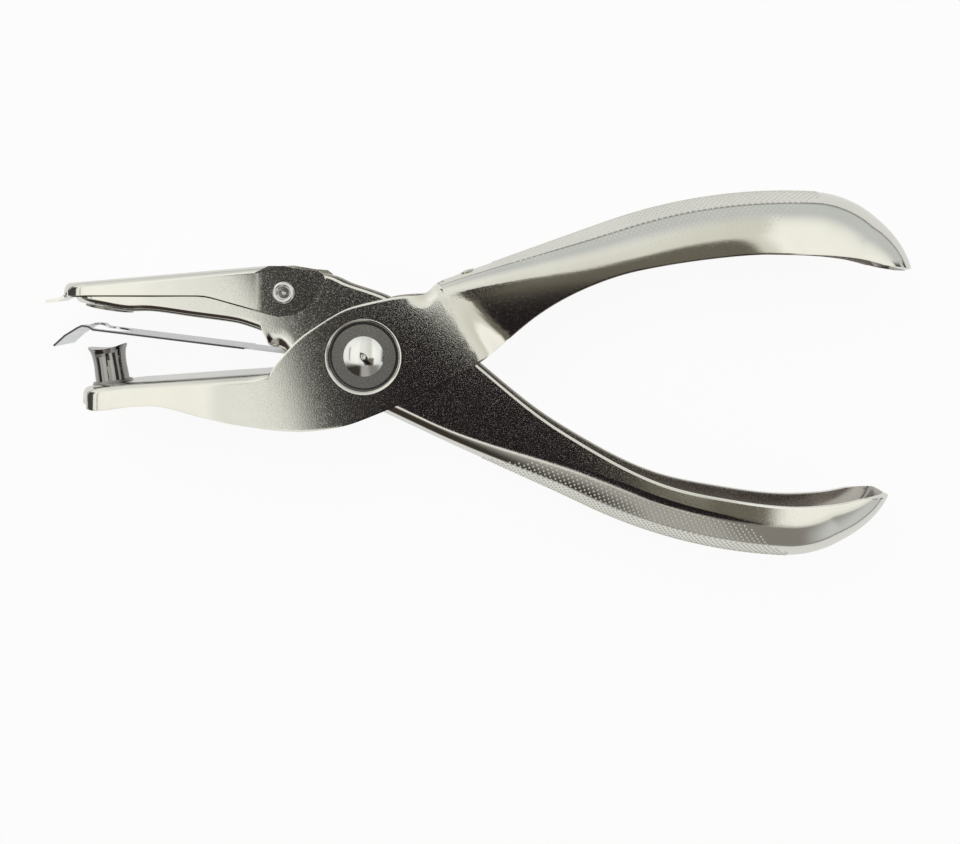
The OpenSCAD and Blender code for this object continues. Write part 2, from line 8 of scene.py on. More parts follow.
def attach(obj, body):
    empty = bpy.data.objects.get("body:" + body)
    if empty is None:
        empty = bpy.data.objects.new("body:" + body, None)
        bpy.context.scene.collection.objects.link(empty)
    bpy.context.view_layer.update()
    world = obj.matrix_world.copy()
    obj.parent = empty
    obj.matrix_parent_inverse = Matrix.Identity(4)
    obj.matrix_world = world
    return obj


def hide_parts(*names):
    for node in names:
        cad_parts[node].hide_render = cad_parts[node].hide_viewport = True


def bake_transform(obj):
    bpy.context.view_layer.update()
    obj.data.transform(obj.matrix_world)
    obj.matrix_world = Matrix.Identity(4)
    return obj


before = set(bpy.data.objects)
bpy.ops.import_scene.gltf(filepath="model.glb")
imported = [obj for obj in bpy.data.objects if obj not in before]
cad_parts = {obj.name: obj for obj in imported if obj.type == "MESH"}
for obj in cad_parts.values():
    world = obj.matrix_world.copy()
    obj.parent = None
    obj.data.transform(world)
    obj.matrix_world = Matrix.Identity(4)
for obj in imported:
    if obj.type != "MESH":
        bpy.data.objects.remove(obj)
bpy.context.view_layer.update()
print("frame loaded")

mm = 0.001  # sizes below are in millimetres
up = Vector((0, 0, 1))
fit = 0.02  # play of a hole round what fills it
crease = dict(sheet=30, turned=42, wire=40, rounded=40)  # degrees: sharper bends are hard or rounded edges


def direction(angle):
    # unit vector in the tool's plane, angle in degrees
    return Vector((math.cos(math.radians(angle)), math.sin(math.radians(angle))))


def ease(start, end, x):
    # 0 at start, 1 at end, smooth between them
    s = min(max((x - start) / (end - start), 0), 1)
    return s * s * (3 - 2 * s)


def curveHeight(points, x):
    # smooth height of a curve through points listed by rising x
    last = len(points) - 1
    i = 0
    while i < last - 1 and x >= points[i + 1][0]:
        i += 1

    def slope(k):
        a, b = points[max(k - 1, 0)], points[min(k + 1, last)]
        return (b[1] - a[1]) / (b[0] - a[0])

    w = points[i + 1][0] - points[i][0]
    s = (x - points[i][0]) / w
    a, b = points[i][1], points[i + 1][1]
    return ((2 * s ** 3 - 3 * s ** 2 + 1) * a + (s ** 3 - 2 * s ** 2 + s) * w * slope(i)
            + (3 * s ** 2 - 2 * s ** 3) * b + (s ** 3 - s ** 2) * w * slope(i + 1))


def smoothLine(points, spacing):
    # points along a rounded line through the given ones, at about even spacing
    out = []
    for i in range(len(points) - 1):
        p = [Vector(points[min(max(k, 0), len(points) - 1)]) for k in (i - 1, i, i + 1, i + 2)]
        count = max(1, round((p[2] - p[1]).length / spacing))
        for k in range(count):
            t = k / count
            out.append(0.5 * (2 * p[1] + (p[2] - p[0]) * t + (2 * p[0] - 5 * p[1] + 4 * p[2] - p[3]) * t * t
                              + (3 * p[1] - p[0] - 3 * p[2] + p[3]) * t ** 3))
    out.append(Vector(points[-1]))
    return out


def straightRun(start, heading, length, count):
    # stations (point, heading) along a straight line
    return [(start + length * i / count * direction(heading), heading) for i in range(count + 1)]


def bow(start, heading, radius, turn, count):
    # stations along an arc that starts where a run ends; a positive turn goes to the left
    side = 90 if turn > 0 else -90
    centre = start + radius * direction(heading + side)
    out = []
    for i in range(1, count + 1):
        a = heading + turn * i / count
        out.append((centre - radius * direction(a + side), a))
    return out


def newObject(name, bm):
    bm.normal_update()
    mesh = bpy.data.meshes.new(name)
    bm.to_mesh(mesh)
    bm.free()
    obj = bpy.data.objects.new(name, mesh)
    bpy.context.scene.collection.objects.link(obj)
    return obj


def applyModifiers(obj):
    bpy.context.view_layer.update()
    depsgraph = bpy.context.evaluated_depsgraph_get()
    mesh = bpy.data.meshes.new_from_object(obj.evaluated_get(depsgraph))
    obj.modifiers.clear()
    old = obj.data
    obj.data = mesh
    bpy.data.meshes.remove(old)
    mesh.name = obj.name


def joined(name, objects):
    # one object of several, with the materials of the first
    bm = bmesh.new()
    materials = list(objects[0].data.materials)
    for o in objects:
        bm.from_mesh(o.data)
        mesh = o.data
        bpy.data.objects.remove(o)
        bpy.data.meshes.remove(mesh)
    obj = newObject(name, bm)
    for mat in materials:
        obj.data.materials.append(mat)
    return obj


def smoothShade(obj, angle):
    # flats stay flat: the rounded edges between them carry the turn
    obj.data.shade_smooth()
    obj.data.set_sharp_from_angle(angle=math.radians(angle))
    m = obj.modifiers.new("flats", "WEIGHTED_NORMAL")
    m.mode = "FACE_AREA"
    m.weight = 90
    m.keep_sharp = True
    applyModifiers(obj)


def lathe(bm, profile, place, steps):
    # profile of (radius, height) turned about the place's Z axis; radius 0 closes with a pole
    turns = [2 * math.pi * k / steps for k in range(steps)]
    rings = []
    for r, h in profile:
        ring = [(r * math.cos(a), r * math.sin(a), h) for a in turns] if r >= 1e-6 else [(0, 0, h)]
        rings.append([bm.verts.new(place @ Vector(p)) for p in ring])
    for a, b in zip(rings, rings[1:]):
        for k in range(steps):
            n = (k + 1) % steps
            quad = [a[k % len(a)], a[n % len(a)], b[n % len(b)], b[k % len(b)]]
            bm.faces.new(list(dict.fromkeys(quad)))


def cut(obj, cutter, mode="DIFFERENCE"):
    # takes the cutter out of the object, or adds it, and removes the cutter
    m = obj.modifiers.new("cut", "BOOLEAN")
    m.operation = mode
    m.solver = "EXACT"
    m.object = cutter
    applyModifiers(obj)
    mesh = cutter.data
    bpy.data.objects.remove(cutter)
    bpy.data.meshes.remove(mesh)


def rod(centre, axis, radius, length, steps=64):
    # a round bar to cut holes with
    bm = bmesh.new()
    turn = Vector(axis).to_track_quat("Z", "Y").to_matrix().to_4x4()
    place = Matrix.Translation(Vector(centre)) @ turn
    half = length / 2
    lathe(bm, [(0, -half), (radius, -half), (radius, half), (0, half)], place, steps)
    bmesh.ops.recalc_face_normals(bm, faces=bm.faces)
    return newObject("rod", bm)


def roundEdges(obj, width):
    m = obj.modifiers.new("round", "BEVEL")
    m.limit_method = "ANGLE"
    m.angle_limit = math.radians(crease["rounded"])
    m.width = width
    m.segments = 3
    m.use_clamp_overlap = True
    m.harden_normals = False
    applyModifiers(obj)


def drill(obj, x, y, radius, steps):
    # a round hole through the whole tool, along the pivot's direction
    cut(obj, rod((x * mm, y * mm, middle * mm), up, radius * mm, 20 * mm, steps))


def thicken(obj, thickness, insideSlot=0):
    # the sheet's inner side takes the second material where insideSlot is 1
    m = obj.modifiers.new("sheet", "SOLIDIFY")
    m.material_offset = insideSlot
    m.thickness = thickness
    m.offset = -1
    applyModifiers(obj)


lever = dict(width=14.0, sheet=1.0, sidePlay=0.05, recessDepth=0.95, recessRim=5.65, recessFloor=5.15,
             recessPatch=6.9, relief=0.1, jawBend=1.4, crownRound=6.6, edge=0.2)
middle = lever["width"] / 2  # height of the tool's middle plane
outerHalf = middle


def nodeMaterial(name, base, metallic, roughness):
    mat = bpy.data.materials.new(name)
    mat.use_nodes = True
    shader = mat.node_tree.nodes["Principled BSDF"]
    shader.inputs["Base Color"].default_value = (*base, 1)
    shader.inputs["Metallic"].default_value = metallic
    shader.inputs["Roughness"].default_value = roughness
    return mat, mat.node_tree, shader


grainLook = dict(detail=3, cloudDetail=4, bumpDepth=0.006, speckFrom=0.48, speckTo=0.78)


def satinMetal(name, look):
    # plated sheet: fine grain in bump and roughness, slight clouding of the colour
    mat, tree, shader = nodeMaterial(name, look["base"], 1.0, look["roughness"])
    nodes, links = tree.nodes, tree.links
    coord = nodes.new("ShaderNodeTexCoord")
    grain = nodes.new("ShaderNodeTexNoise")
    grain.inputs["Scale"].default_value = look["grainScale"]
    grain.inputs["Detail"].default_value = grainLook["detail"]
    cloud = nodes.new("ShaderNodeTexNoise")
    cloud.inputs["Scale"].default_value = look["cloudScale"]
    cloud.inputs["Detail"].default_value = grainLook["cloudDetail"]
    for n in (grain, cloud):
        links.new(coord.outputs["Object"], n.inputs["Vector"])
    bump = nodes.new("ShaderNodeBump")
    bump.inputs["Strength"].default_value = look["bump"]
    bump.inputs["Distance"].default_value = grainLook["bumpDepth"] * mm
    links.new(grain.outputs["Fac"], bump.inputs["Height"])
    links.new(bump.outputs["Normal"], shader.inputs["Normal"])
    tint = nodes.new("ShaderNodeMix")
    tint.data_type = "RGBA"
    tint.inputs["A"].default_value = (*look["base"], 1)
    tint.inputs["B"].default_value = (*look["dull"], 1)
    links.new(cloud.outputs["Fac"], tint.inputs["Factor"])
    colour = tint.outputs["Result"]
    if "darkerBeyond" in look:  # the leaf is darker away from the middle plane, on both sides
        split = nodes.new("ShaderNodeSeparateXYZ")
        links.new(coord.outputs["Object"], split.inputs["Vector"])
        aside = nodes.new("ShaderNodeMath")
        aside.operation = "COMPARE"
        aside.inputs[1].default_value = middle * mm
        aside.inputs[2].default_value = look["darkerBeyond"] * mm
        links.new(split.outputs["Z"], aside.inputs[0])
        edge = nodes.new("ShaderNodeMix")
        edge.data_type = "RGBA"
        edge.inputs["A"].default_value = (*look["sideTone"], 1)
        links.new(colour, edge.inputs["B"])
        links.new(aside.outputs["Value"], edge.inputs["Factor"])
        colour = edge.outputs["Result"]
    links.new(colour, shader.inputs["Base Color"])
    rough = nodes.new("ShaderNodeMapRange")
    rough.inputs["From Min"].default_value = grainLook["speckFrom"]
    rough.inputs["From Max"].default_value = grainLook["speckTo"]
    rough.inputs["To Min"].default_value = look["roughness"]
    rough.inputs["To Max"].default_value = look["speckRoughness"]
    links.new(grain.outputs["Fac"], rough.inputs["Value"])
    links.new(rough.outputs["Result"], shader.inputs["Roughness"])
    return mat


leverNickel = satinMetal("leverNickel", dict(
    base=(0.84, 0.83, 0.78), dull=(0.74, 0.73, 0.68), roughness=0.055, speckRoughness=0.185,
    grainScale=5200, cloudScale=160, bump=0.35))
coverNickel = satinMetal("coverNickel", dict(
    base=(0.85, 0.84, 0.79), dull=(0.76, 0.75, 0.7), roughness=0.05, speckRoughness=0.17,
    grainScale=5200, cloudScale=160, bump=0.25))
brightSteel = satinMetal("brightSteel", dict(
    base=(0.86, 0.86, 0.85), dull=(0.78, 0.78, 0.77), roughness=0.06, speckRoughness=0.16,
    grainScale=1800, cloudScale=200, bump=0.2))
leafSteel = satinMetal("leafSteel", dict(
    base=(0.8, 0.81, 0.84), dull=(0.68, 0.69, 0.73), roughness=0.16, speckRoughness=0.25,
    grainScale=2600, cloudScale=300, bump=0.4, darkerBeyond=4.5, sideTone=(0.09, 0.09, 0.1)))
# the recess floor round the pivot: dark colour painted as shade in the recess
recessPaintedShade = satinMetal("recessPaintedShade", dict(
    base=(0.29, 0.28, 0.27), dull=(0.19, 0.185, 0.18), roughness=0.25, speckRoughness=0.4,
    grainScale=3600, cloudScale=140, bump=0.6))
punchSteel = satinMetal("punchSteel", dict(
    base=(0.42, 0.41, 0.4), dull=(0.3, 0.29, 0.28), roughness=0.08, speckRoughness=0.18,
    grainScale=1800, cloudScale=200, bump=0.3))
# the sheet's inner side: greyer colour painted as shade inside the channel, and rougher
insidePaintedShade = satinMetal("insidePaintedShade", dict(
    base=(0.5, 0.47, 0.44), dull=(0.36, 0.33, 0.31), roughness=0.2, speckRoughness=0.4,
    grainScale=3600, cloudScale=140, bump=0.5))
darkSteel = satinMetal("darkSteel", dict(
    base=(0.38, 0.36, 0.33), dull=(0.3, 0.29, 0.27), roughness=0.3, speckRoughness=0.45,
    grainScale=2200, cloudScale=220, bump=0.5))

# half widths and sizes of the pieces; a pair is where something starts and ends along the tool
innerHalf = outerHalf - lever["recessDepth"] - lever["sheet"] - lever["sidePlay"]
handleHalf = outerHalf - lever["relief"]
handle = dict(lowerLead=10, startX=11.5, rise=12.5, slope=22.5, straight=27.3, bowRadius=84.0,
              tipRadius=17.0, tipTurn=70.0, depth=10.0, tipDepth=5.0, widen=(8, 58), drop=0.12,
              tipDraw=1.8, tipFrom=(58, 90), bendMore=0.8, bendFrom=(10, 42),
              lean=0.105, leanFrom=(11.5, 14.6), leanSkew=4.0, leanTo=(65, 53), leanCurve=1.35)
cover = dict(sheet=0.5, edge=0.19, hem=0.13, bend=1.1, gap=0.15, seat=0.3, slope=7.9, startX=-16.0,
             startY=13.2, frontX=-46.8, nose=1.8, noseTurn=76, noseEnd=0.7, noseSlant=2.4, noseFrom=43.5,
             noseReach=5.6, hingeX=-12.9, hingeY=9.2, hingeHole=1.25, earTilt=0.012, tabWidth=5.0,
             steps=30, weld=0.03, flatAngle=0.3)
coverHalf = innerHalf + cover["gap"] + cover["sheet"]
punch = dict(lip=6.1, height=6.0, saddle=0.5, lean=9.6, setback=4.05, shank=1.8)
jaw = dict(slope=6.9, webEnd=37.0, padLength=6.5, throatX=-14.6, throatY=-3.4, throatBend=0.7,
           throatFrom=-17.5, taper=0.8, taperFrom=(22, 38), nose=2.2, noseTurn=78, noseEnd=0.8,
           noseSlant=2.6, noseBend=0.6, noseFrom=40.6, noseReach=5.6)

# outlines in the tool's plane: each lever's rim, and its edge in the crossing, where it has no web
outerRim = [(-46, -9.8), (-43.6, -10.7), (-41.4, -10.8), (-36.3, -9.9), (-31.6, -9.6), (-25.3, -10.8),
            (-18.9, -11.8), (-10, -12.3), (-3.2, -11.2), (1.4, -9.4), (9.1, -5.5), (18.2, 0.1), (27, 8),
            (34, 12.4), (42, 15.5), (57, 18.5), (68, 19.3), (76, 19.1), (82, 17.9)]
outerFront = [(-14.6, -3.9), (-13.6, -2.0), (-11.4, 0.8), (-9.9, 2.4), (-8.4, 3.6), (-5.3, 5.8),
              (-2.3, 7.5), (3, 9.1), (5.3, 9.6), (8.4, 10.0), (9.3, 10.35), (10.1, 11.2), (10.9, 12.0)]


def coverTop(x):
    return cover["startY"] + (x - cover["startX"]) * math.tan(math.radians(cover["slope"]))


def underCover(x):
    return coverTop(x) - (cover["sheet"] + cover["seat"]) / math.cos(math.radians(cover["slope"]))


innerRim = [(x, underCover(x)) for x in (-48, -44, -36, -28, -20, -16)] + [
    (-13, underCover(-16) + 0.15), (-9, 12.4), (-5.8, 12), (-3.5, 11.1), (0.5, 10), (2.9, 9.2), (8, 6.6),
    (13, 3.2), (18.2, -0.9), (27, -7.4), (33, -11), (42, -15.5), (49, -18), (57, -19.4), (68, -20.3),
    (76, -19.6), (82, -18)]
innerBottom = [(-16.4, 3.4), (-15.3, 1.4), (-14.6, 0.7), (-12.8, 0.2), (-10.5, -2.4), (-7.5, -5.4),
               (-4, -7.3), (0, -8.1), (2.8, -8.4)]

# how the sheets are divided: rows across a section, steps along it, and the limits of its rounds
skin = dict(flatRows=8, edgeRow=0.35, hemRows=4, curlRows=6, curlWidth=2.2, curlDepth=8, cornerRows=12,
            webRows=4, fanRows=8, leastFlat=0.4, mostBend=0.85, mostNose=0.86, handleSteps=90, jawSteps=20,
            padSteps=8, noseSteps=12, crossingSteps=34, edgeSpacing=0.4)


def crownLine(lead, steps):
    # stations (point, heading) along a handle's crown, from the pivot side to the tip
    start = Vector((handle["startX"], handle["rise"])) - lead * direction(handle["slope"])
    straight = handle["straight"] + lead
    whole = (straight + math.radians(handle["slope"]) * handle["bowRadius"]
             + math.radians(handle["tipTurn"]) * handle["tipRadius"])
    line = straightRun(start, handle["slope"], straight, max(4, round(steps * straight / whole)))
    line += bow(*line[-1], handle["bowRadius"], -handle["slope"], round(steps * 0.3))
    line += bow(*line[-1], handle["tipRadius"], -handle["tipTurn"], round(steps * 0.4))
    return line


def rimX(point, heading):
    # where the section through a crown's point meets the rim
    f = ease(0, handle["tipTurn"], -heading)
    return point.x + (handle["depth"] * (1 - f) + handle["tipDepth"] * f) * math.sin(math.radians(heading))


def squeeze(x):
    # the handles narrow a little towards their tips
    return 1 - handle["tipDraw"] / middle * ease(*handle["tipFrom"], x)


def bendAt(x):
    # how deep the handle's crown rounds into its flanks
    start = lever["jawBend"] + handle["bendMore"]
    return start + (lever["crownRound"] - start) * ease(*handle["bendFrom"], x)


def station(crown, rim, half, bend=None, lean=0, curl=0, hem=0):
    # one section of a sheet, from its crown to its rim; bend is None where the web is cut away, and lean
    # draws the flat inwards, curl the crown's edge and hem the rim's edge
    crown, rim = Vector(crown), Vector(rim)
    if bend is not None:
        bend = min(bend, skin["mostBend"] * (rim - crown).length)
    return dict(crown=crown, rim=rim, half=half, bend=bend, lean=lean, curl=curl, hem=hem)


def sectionPoints(s):
    # near rim to far rim; the flats have a fixed count of points, so that stations match
    span = s["rim"] - s["crown"]
    depth = span.length
    inward = span / depth
    bend = s["bend"] or 0
    margin, rows = skin["edgeRow"], skin["flatRows"]
    curlFrom = bend + skin["curlWidth"] * min(1, (depth - bend) / skin["curlDepth"])
    even = [depth - margin + (curlFrom + margin - depth) * k / rows for k in range(rows + 1)]
    edge = [bend + (curlFrom - bend) * (1 - k / skin["curlRows"]) for k in range(1, skin["curlRows"])]
    hem = [depth - margin * k / skin["hemRows"] for k in range(skin["hemRows"])] if s["hem"] else [depth]
    near = [(d, s["half"] - s["curl"] * max(0, 1 - (d - bend) / skin["curlWidth"]) ** 2
             - s["hem"] * max(0, 1 - (depth - d) / margin) ** 2) for d in hem + even + edge + [bend]]
    if s["bend"] is not None:
        roundZ = min(bend, s["half"] - skin["leastFlat"])
        corner = [(bend - bend * math.sin(a), s["half"] - roundZ + roundZ * math.cos(a))
                  for a in (math.pi / 2 * k / skin["cornerRows"] for k in range(1, skin["cornerRows"] + 1))]
        web = [(0, (s["half"] - roundZ) * (1 - k / skin["webRows"])) for k in range(1, skin["webRows"] + 1)]
        near += corner + web

    def place(d, z):
        p = s["crown"] + inward * d
        f = max(d - bend, 0) / (depth - bend)
        start, end = (x + handle["leanSkew"] * f for x in handle["leanFrom"])
        lean = s["lean"] * (depth - bend) * f ** handle["leanCurve"] * ease(start, end, s["crown"].x)
        return Vector((p.x, p.y, middle + (z - math.copysign(lean, z)) * squeeze(p.x))) * mm

    nearPoints = [place(d, z) for d, z in near]
    farPoints = [place(d, -z) for d, z in near]
    if s["bend"] is not None:
        return [nearPoints + farPoints[-2::-1]]
    return [nearPoints, farPoints[::-1]]


def leverSkin(name, stations, mirrored, fanned=False):
    # outer skin of a lever as one sheet, with its web cut away in the crossing
    bm = bmesh.new()
    rows = []
    for s in stations:
        parts = [[bm.verts.new(p) for p in part] for part in sectionPoints(s)]
        rows.append(parts[0] if len(parts) == 1 else parts)

    def strip(a, b):
        for i in range(len(a) - 1):
            quad = [a[i], a[i + 1], b[i + 1], b[i]]
            bm.faces.new(quad if mirrored else reversed(quad))

    for a, b in zip(rows, rows[1:]):
        split = next((r for r in (a, b) if isinstance(r[0], list)), None)
        if split is None:
            strip(a, b)
            continue
        flats = len(split[0])
        near = [r[0] if isinstance(r[0], list) else r[:flats] for r in (a, b)]
        far = [r[1] if isinstance(r[0], list) else r[-flats:] for r in (a, b)]
        strip(*near)
        strip(*far)
        if fanned and isinstance(a[0], list):  # the flat's end runs into the round of the web
            fan = skin["fanRows"]
            sides = ((near[0][-1], b[flats - 1:flats + fan]), (far[0][0], b[-flats - fan:-flats + 1]))
            for end, turns in sides:
                for one, two in zip(turns, turns[1:]):
                    bm.faces.new([end, one, two] if mirrored else [two, one, end])
    return newObject(name, bm)


# where each lever's rim runs beside the crossing, and how far its edge curls in at the ends
cross = dict(outerSpan=(-14.3, 15.1), innerSpan=(-16.2, 5.9), throat=0.8, throatFrom=(-9.5, -12.6),
             throatTo=(-15.2, -13.8), shoulder=0.9, shoulderFrom=(7.6, 10.7))


def crossing(edge, rimLine, span, half, throat, shoulder):
    # sections between an edge line and the rim, where there is no web; the edge may curl in by so much at
    # the throat, and at the shoulder, where the handle's web begins
    line = smoothLine(edge, skin["edgeSpacing"])
    count = skin["crossingSteps"]
    out = []
    for k in range(count + 1):
        p = line[round((len(line) - 1) * k / count)]
        x = span[0] + (span[1] - span[0]) * k / count
        curl = throat * ease(*cross["throatFrom"], p.x) * ease(*cross["throatTo"], p.x)
        curl += shoulder * ease(*cross["shoulderFrom"], p.x)
        out.append(station(p, (x, curveHeight(rimLine, x)), half, curl=curl))
    return out


def handleStations(lead, rimLine, side, startHalf, endHalf, lean=0):
    # a handle's sections; side is 1 for the upper handle and -1 for the lower one
    out = []
    for p, heading in crownLine(lead, skin["handleSteps"]):
        x = rimX(p, heading)
        half = startHalf + (endHalf - startHalf) * ease(*handle["widen"], p.x)
        drawn = lean * ease(*handle["leanTo"], p.x)
        crown = (p.x, side * (p.y - handle["drop"]))
        out.append(station(crown, (x, curveHeight(rimLine, x)), half, bendAt(p.x), drawn))
    return out


def noseShare(x, piece):
    # how much of its width a jaw or the lid keeps towards its round nose
    f = (-x - piece["noseFrom"]) / piece["noseReach"]
    return math.sqrt(1 - min(max(f, 0), skin["mostNose"]) ** 2)


def lowerJawHalf(x):
    return (outerHalf - jaw["taper"] * ease(*jaw["taperFrom"], -x)) * noseShare(x, jaw)


def coverHalfAt(x):
    return coverHalf * noseShare(x, cover)


padDrop = (jaw["webEnd"] + jaw["throatX"]) * math.tan(math.radians(jaw["slope"]))
padStart = Vector((-jaw["webEnd"], jaw["throatY"] - padDrop))  # the lower jaw's flat under the punch
padHeading = 180 + punch["lean"]
punchSeat = padStart + punch["setback"] * direction(padHeading)
punchAxis = direction(90 + punch["lean"])


def lowerJawStations():
    throat = Vector((jaw["throatX"], jaw["throatY"]))
    line = straightRun(throat, 180 + jaw["slope"], (padStart - throat).length, skin["jawSteps"])
    line += straightRun(padStart, padHeading, jaw["padLength"], skin["padSteps"])[1:]
    line += bow(*line[-1], jaw["nose"], jaw["noseTurn"], skin["noseSteps"])
    end, heading = line[-1]
    line.append((end + jaw["noseEnd"] * direction(heading), heading))
    out = []
    for p, heading in line:
        f = ease(padHeading, padHeading + jaw["noseTurn"], heading)
        x = p.x + jaw["noseSlant"] * f
        throatward = ease(jaw["throatFrom"], jaw["throatX"], p.x)
        bend = lever["jawBend"] + jaw["noseBend"] * f - jaw["throatBend"] * throatward
        out.append(station(p, (x, curveHeight(outerRim, x)), lowerJawHalf(p.x), bend))
    return out[::-1]


# the upper jaw's flat holds the die, which lies where the punch's lip comes round the pivot
die = dict(angle=6.9, collar=7.4, collarHeight=0.45, clear=0.15, neckWall=0.3, deep=4, padRear=0.4,
           padFront=0.1, bend=1.2, nose=1.5, noseTurn=72, noseSteps=10, noseSlant=2.6, noseLift=0.1,
           webSpacing=0.6, boreSteps=96)
lipCentre = punchSeat + (punch["height"] - punch["saddle"] / 2) * punchAxis
dieAxis = direction(90 - die["angle"])
dieSeat = lipCentre.length * direction(180 - die["angle"]) + die["collarHeight"] * dieAxis
padAlong = direction(-die["angle"])
padRear = dieSeat + (die["collar"] / 2 + die["padRear"]) * padAlong
padFront = dieSeat - (die["collar"] / 2 + die["padFront"]) * padAlong


def upperJawStations():
    web = [(-16.5, 3.0), (-18.5, 3.6), (-21, 4.1), (-27, 4.6), (-33.5, 5.15), padRear, dieSeat,
           padFront + die["nose"] * padAlong, padFront]
    heading = 180 - die["angle"]
    line = [(p, heading) for p in smoothLine(web, die["webSpacing"])]
    line += bow(padFront, heading, die["nose"], -die["noseTurn"], die["noseSteps"])
    out = []
    for p, h in line:
        f = ease(0, die["noseTurn"], heading - h)
        x = p.x + die["noseSlant"] * f
        half = coverHalfAt(p.x - die["nose"]) - cover["sheet"] - cover["gap"]
        out.append(station(p, (x, curveHeight(innerRim, x) - die["noseLift"] * f), half, die["bend"]))
    return out[::-1]


pivot = dict(rivet=4.0, play=0.05, headWidth=6.3, dome=0.72, inset=0.1, domeSteps=9, dishSteps=96,
             boreSteps=64)


def recessDish(near):
    # the round pressed recess that the pivot's head sits in, turned in one piece with the sheet round it
    t, deep, patch = lever["sheet"], lever["recessDepth"], lever["recessPatch"]
    rim, floor = lever["recessRim"], lever["recessFloor"]
    bore = pivot["rivet"] / 2 + fit
    outer = [(patch, 0), (rim + 0.36, 0), (rim + 0.24, 0), (rim + 0.14, -0.02), (rim + 0.04, -0.07),
             (rim - 0.06, -0.17), (rim - 0.16, -0.3), (rim - 0.2, -deep + 0.02), (rim - 0.43, -deep - 0.2),
             (rim - 0.66, -deep), (rim - 0.8, -deep), (bore, -deep)]
    inner = [(bore, -deep - t), (floor + 0.5, -deep - t), (floor + 0.9, -deep - t + 0.1),
             (patch - 0.1, -t), (patch, -t)]
    bm = bmesh.new()
    turn = Matrix.Identity(4) if near else Matrix.Rotation(math.pi, 4, "X")
    place = Matrix.Translation(Vector((0, 0, lever["width"] if near else 0)) * mm) @ turn
    lathe(bm, [(r * mm, h * mm) for r, h in outer + inner], place, pivot["dishSteps"])
    bmesh.ops.recalc_face_normals(bm, faces=bm.faces)
    for face in bm.faces:  # the floor takes the dark third material: painted shade in the recess, and duller, as on the sheet's inner side
        face.material_index = 2 * int(face.calc_center_median().to_2d().length < (rim - 0.13) * mm)
    return newObject("dish", bm)


springHole = dict(x=15.4, z=11.5, bore=0.85, boreSteps=32, deep=3, lip=1.0, roll=0.16, rollSteps=8,
                  lipSteps=28)


def springHoleRing(spot, out):
    # the burred lip round the hole where the return spring's end shows
    bm = bmesh.new()
    place = Matrix.Translation(spot - out * handle["drop"] * mm)
    place = place @ out.to_track_quat("Z", "Y").to_matrix().to_4x4()
    roll, steps = springHole["roll"], springHole["rollSteps"]
    loop = [(springHole["lip"] + roll * math.cos(a), roll * math.sin(a))
            for a in (2 * math.pi * k / steps for k in range(steps + 1))]
    lathe(bm, [(r * mm, h * mm) for r, h in loop], place, springHole["lipSteps"])
    bmesh.ops.remove_doubles(bm, verts=bm.verts, dist=1e-7)
    bmesh.ops.recalc_face_normals(bm, faces=bm.faces)
    return newObject("ring", bm)


tube = dict(width=3.4, roll=0.33, rollRise=0.8, shank=2.4, steps=48)  # the lid's rivets


def leverSheet(name, stations, mirrored, fanned=False):
    # one lever's bent sheet, bright outside and greyer inside with painted shade; the third material is the
    # recess floor's painted shade
    obj = leverSkin(name, stations, mirrored, fanned)
    for mat in (leverNickel, insidePaintedShade, recessPaintedShade):
        obj.data.materials.append(mat)
    thicken(obj, lever["sheet"] * mm, 1)
    roundEdges(obj, lever["edge"] * mm)
    return obj


def outerLever():
    stations = lowerJawStations()
    stations += crossing(outerFront, outerRim, cross["outerSpan"], outerHalf, 0, cross["shoulder"])[1:]
    stations += handleStations(0, outerRim, 1, outerHalf, outerHalf, handle["lean"])
    obj = leverSheet("outerLeverSheet", stations, False, True)
    drill(obj, 0, 0, lever["recessPatch"], pivot["dishSteps"])
    shank = (punch["shank"] + fit) * mm
    cut(obj, rod((*(punchSeat * mm), middle * mm), (*punchAxis, 0), shank, punch["height"] * mm))
    climb = (springHole["x"] - handle["startX"]) * math.tan(math.radians(handle["slope"]))
    spot = Vector((springHole["x"], handle["rise"] + climb)) * mm
    spot = Vector((*spot, springHole["z"] * mm))
    out = Vector((*direction(handle["slope"] + 90), 0))
    cut(obj, rod(spot, out, springHole["bore"] * mm, springHole["deep"] * mm, springHole["boreSteps"]))
    ring = springHoleRing(spot, out)
    obj = joined("outerLeverSheet", [obj, recessDish(True), recessDish(False), ring])
    smoothShade(obj, crease["sheet"])
    return obj


def innerLever():
    stations = upperJawStations()
    stations += crossing(innerBottom, innerRim, cross["innerSpan"], innerHalf, cross["throat"], 0)[1:]
    stations += handleStations(handle["lowerLead"], innerRim, -1, innerHalf, handleHalf)
    obj = leverSheet("innerLeverSheet", stations, True)
    drill(obj, 0, 0, pivot["rivet"] / 2 + pivot["play"], pivot["boreSteps"])
    neck = (punch["lip"] + 2 * die["clear"] + 2 * die["neckWall"]) / 2 + fit
    seat = (*(dieSeat * mm), middle * mm)
    cut(obj, rod(seat, (*dieAxis, 0), neck * mm, die["deep"] * mm, die["boreSteps"]))
    drill(obj, cover["hingeX"], cover["hingeY"], tube["shank"] / 2 + fit, tube["steps"])
    smoothShade(obj, crease["sheet"])
    return obj


def domeProfile(radius, height, top, steps):
    # quarter profile of a shallow dome, from its middle to its rim
    bowRadius = (radius ** 2 + height ** 2) / (2 * height)
    return [(r, top - bowRadius + math.sqrt(bowRadius ** 2 - r ** 2))
            for r in (radius * k / steps for k in range(1, steps + 1))]


def turned(name, profile, x, y, steps=72):
    # a closed turned piece on an axis along Z; the profile runs from the upper pole to the lower one
    bm = bmesh.new()
    lathe(bm, [(r * mm, z * mm) for r, z in profile], Matrix.Translation((x * mm, y * mm, 0)), steps)
    bmesh.ops.recalc_face_normals(bm, faces=bm.faces)
    obj = newObject(name, bm)
    smoothShade(obj, crease["turned"])
    return obj


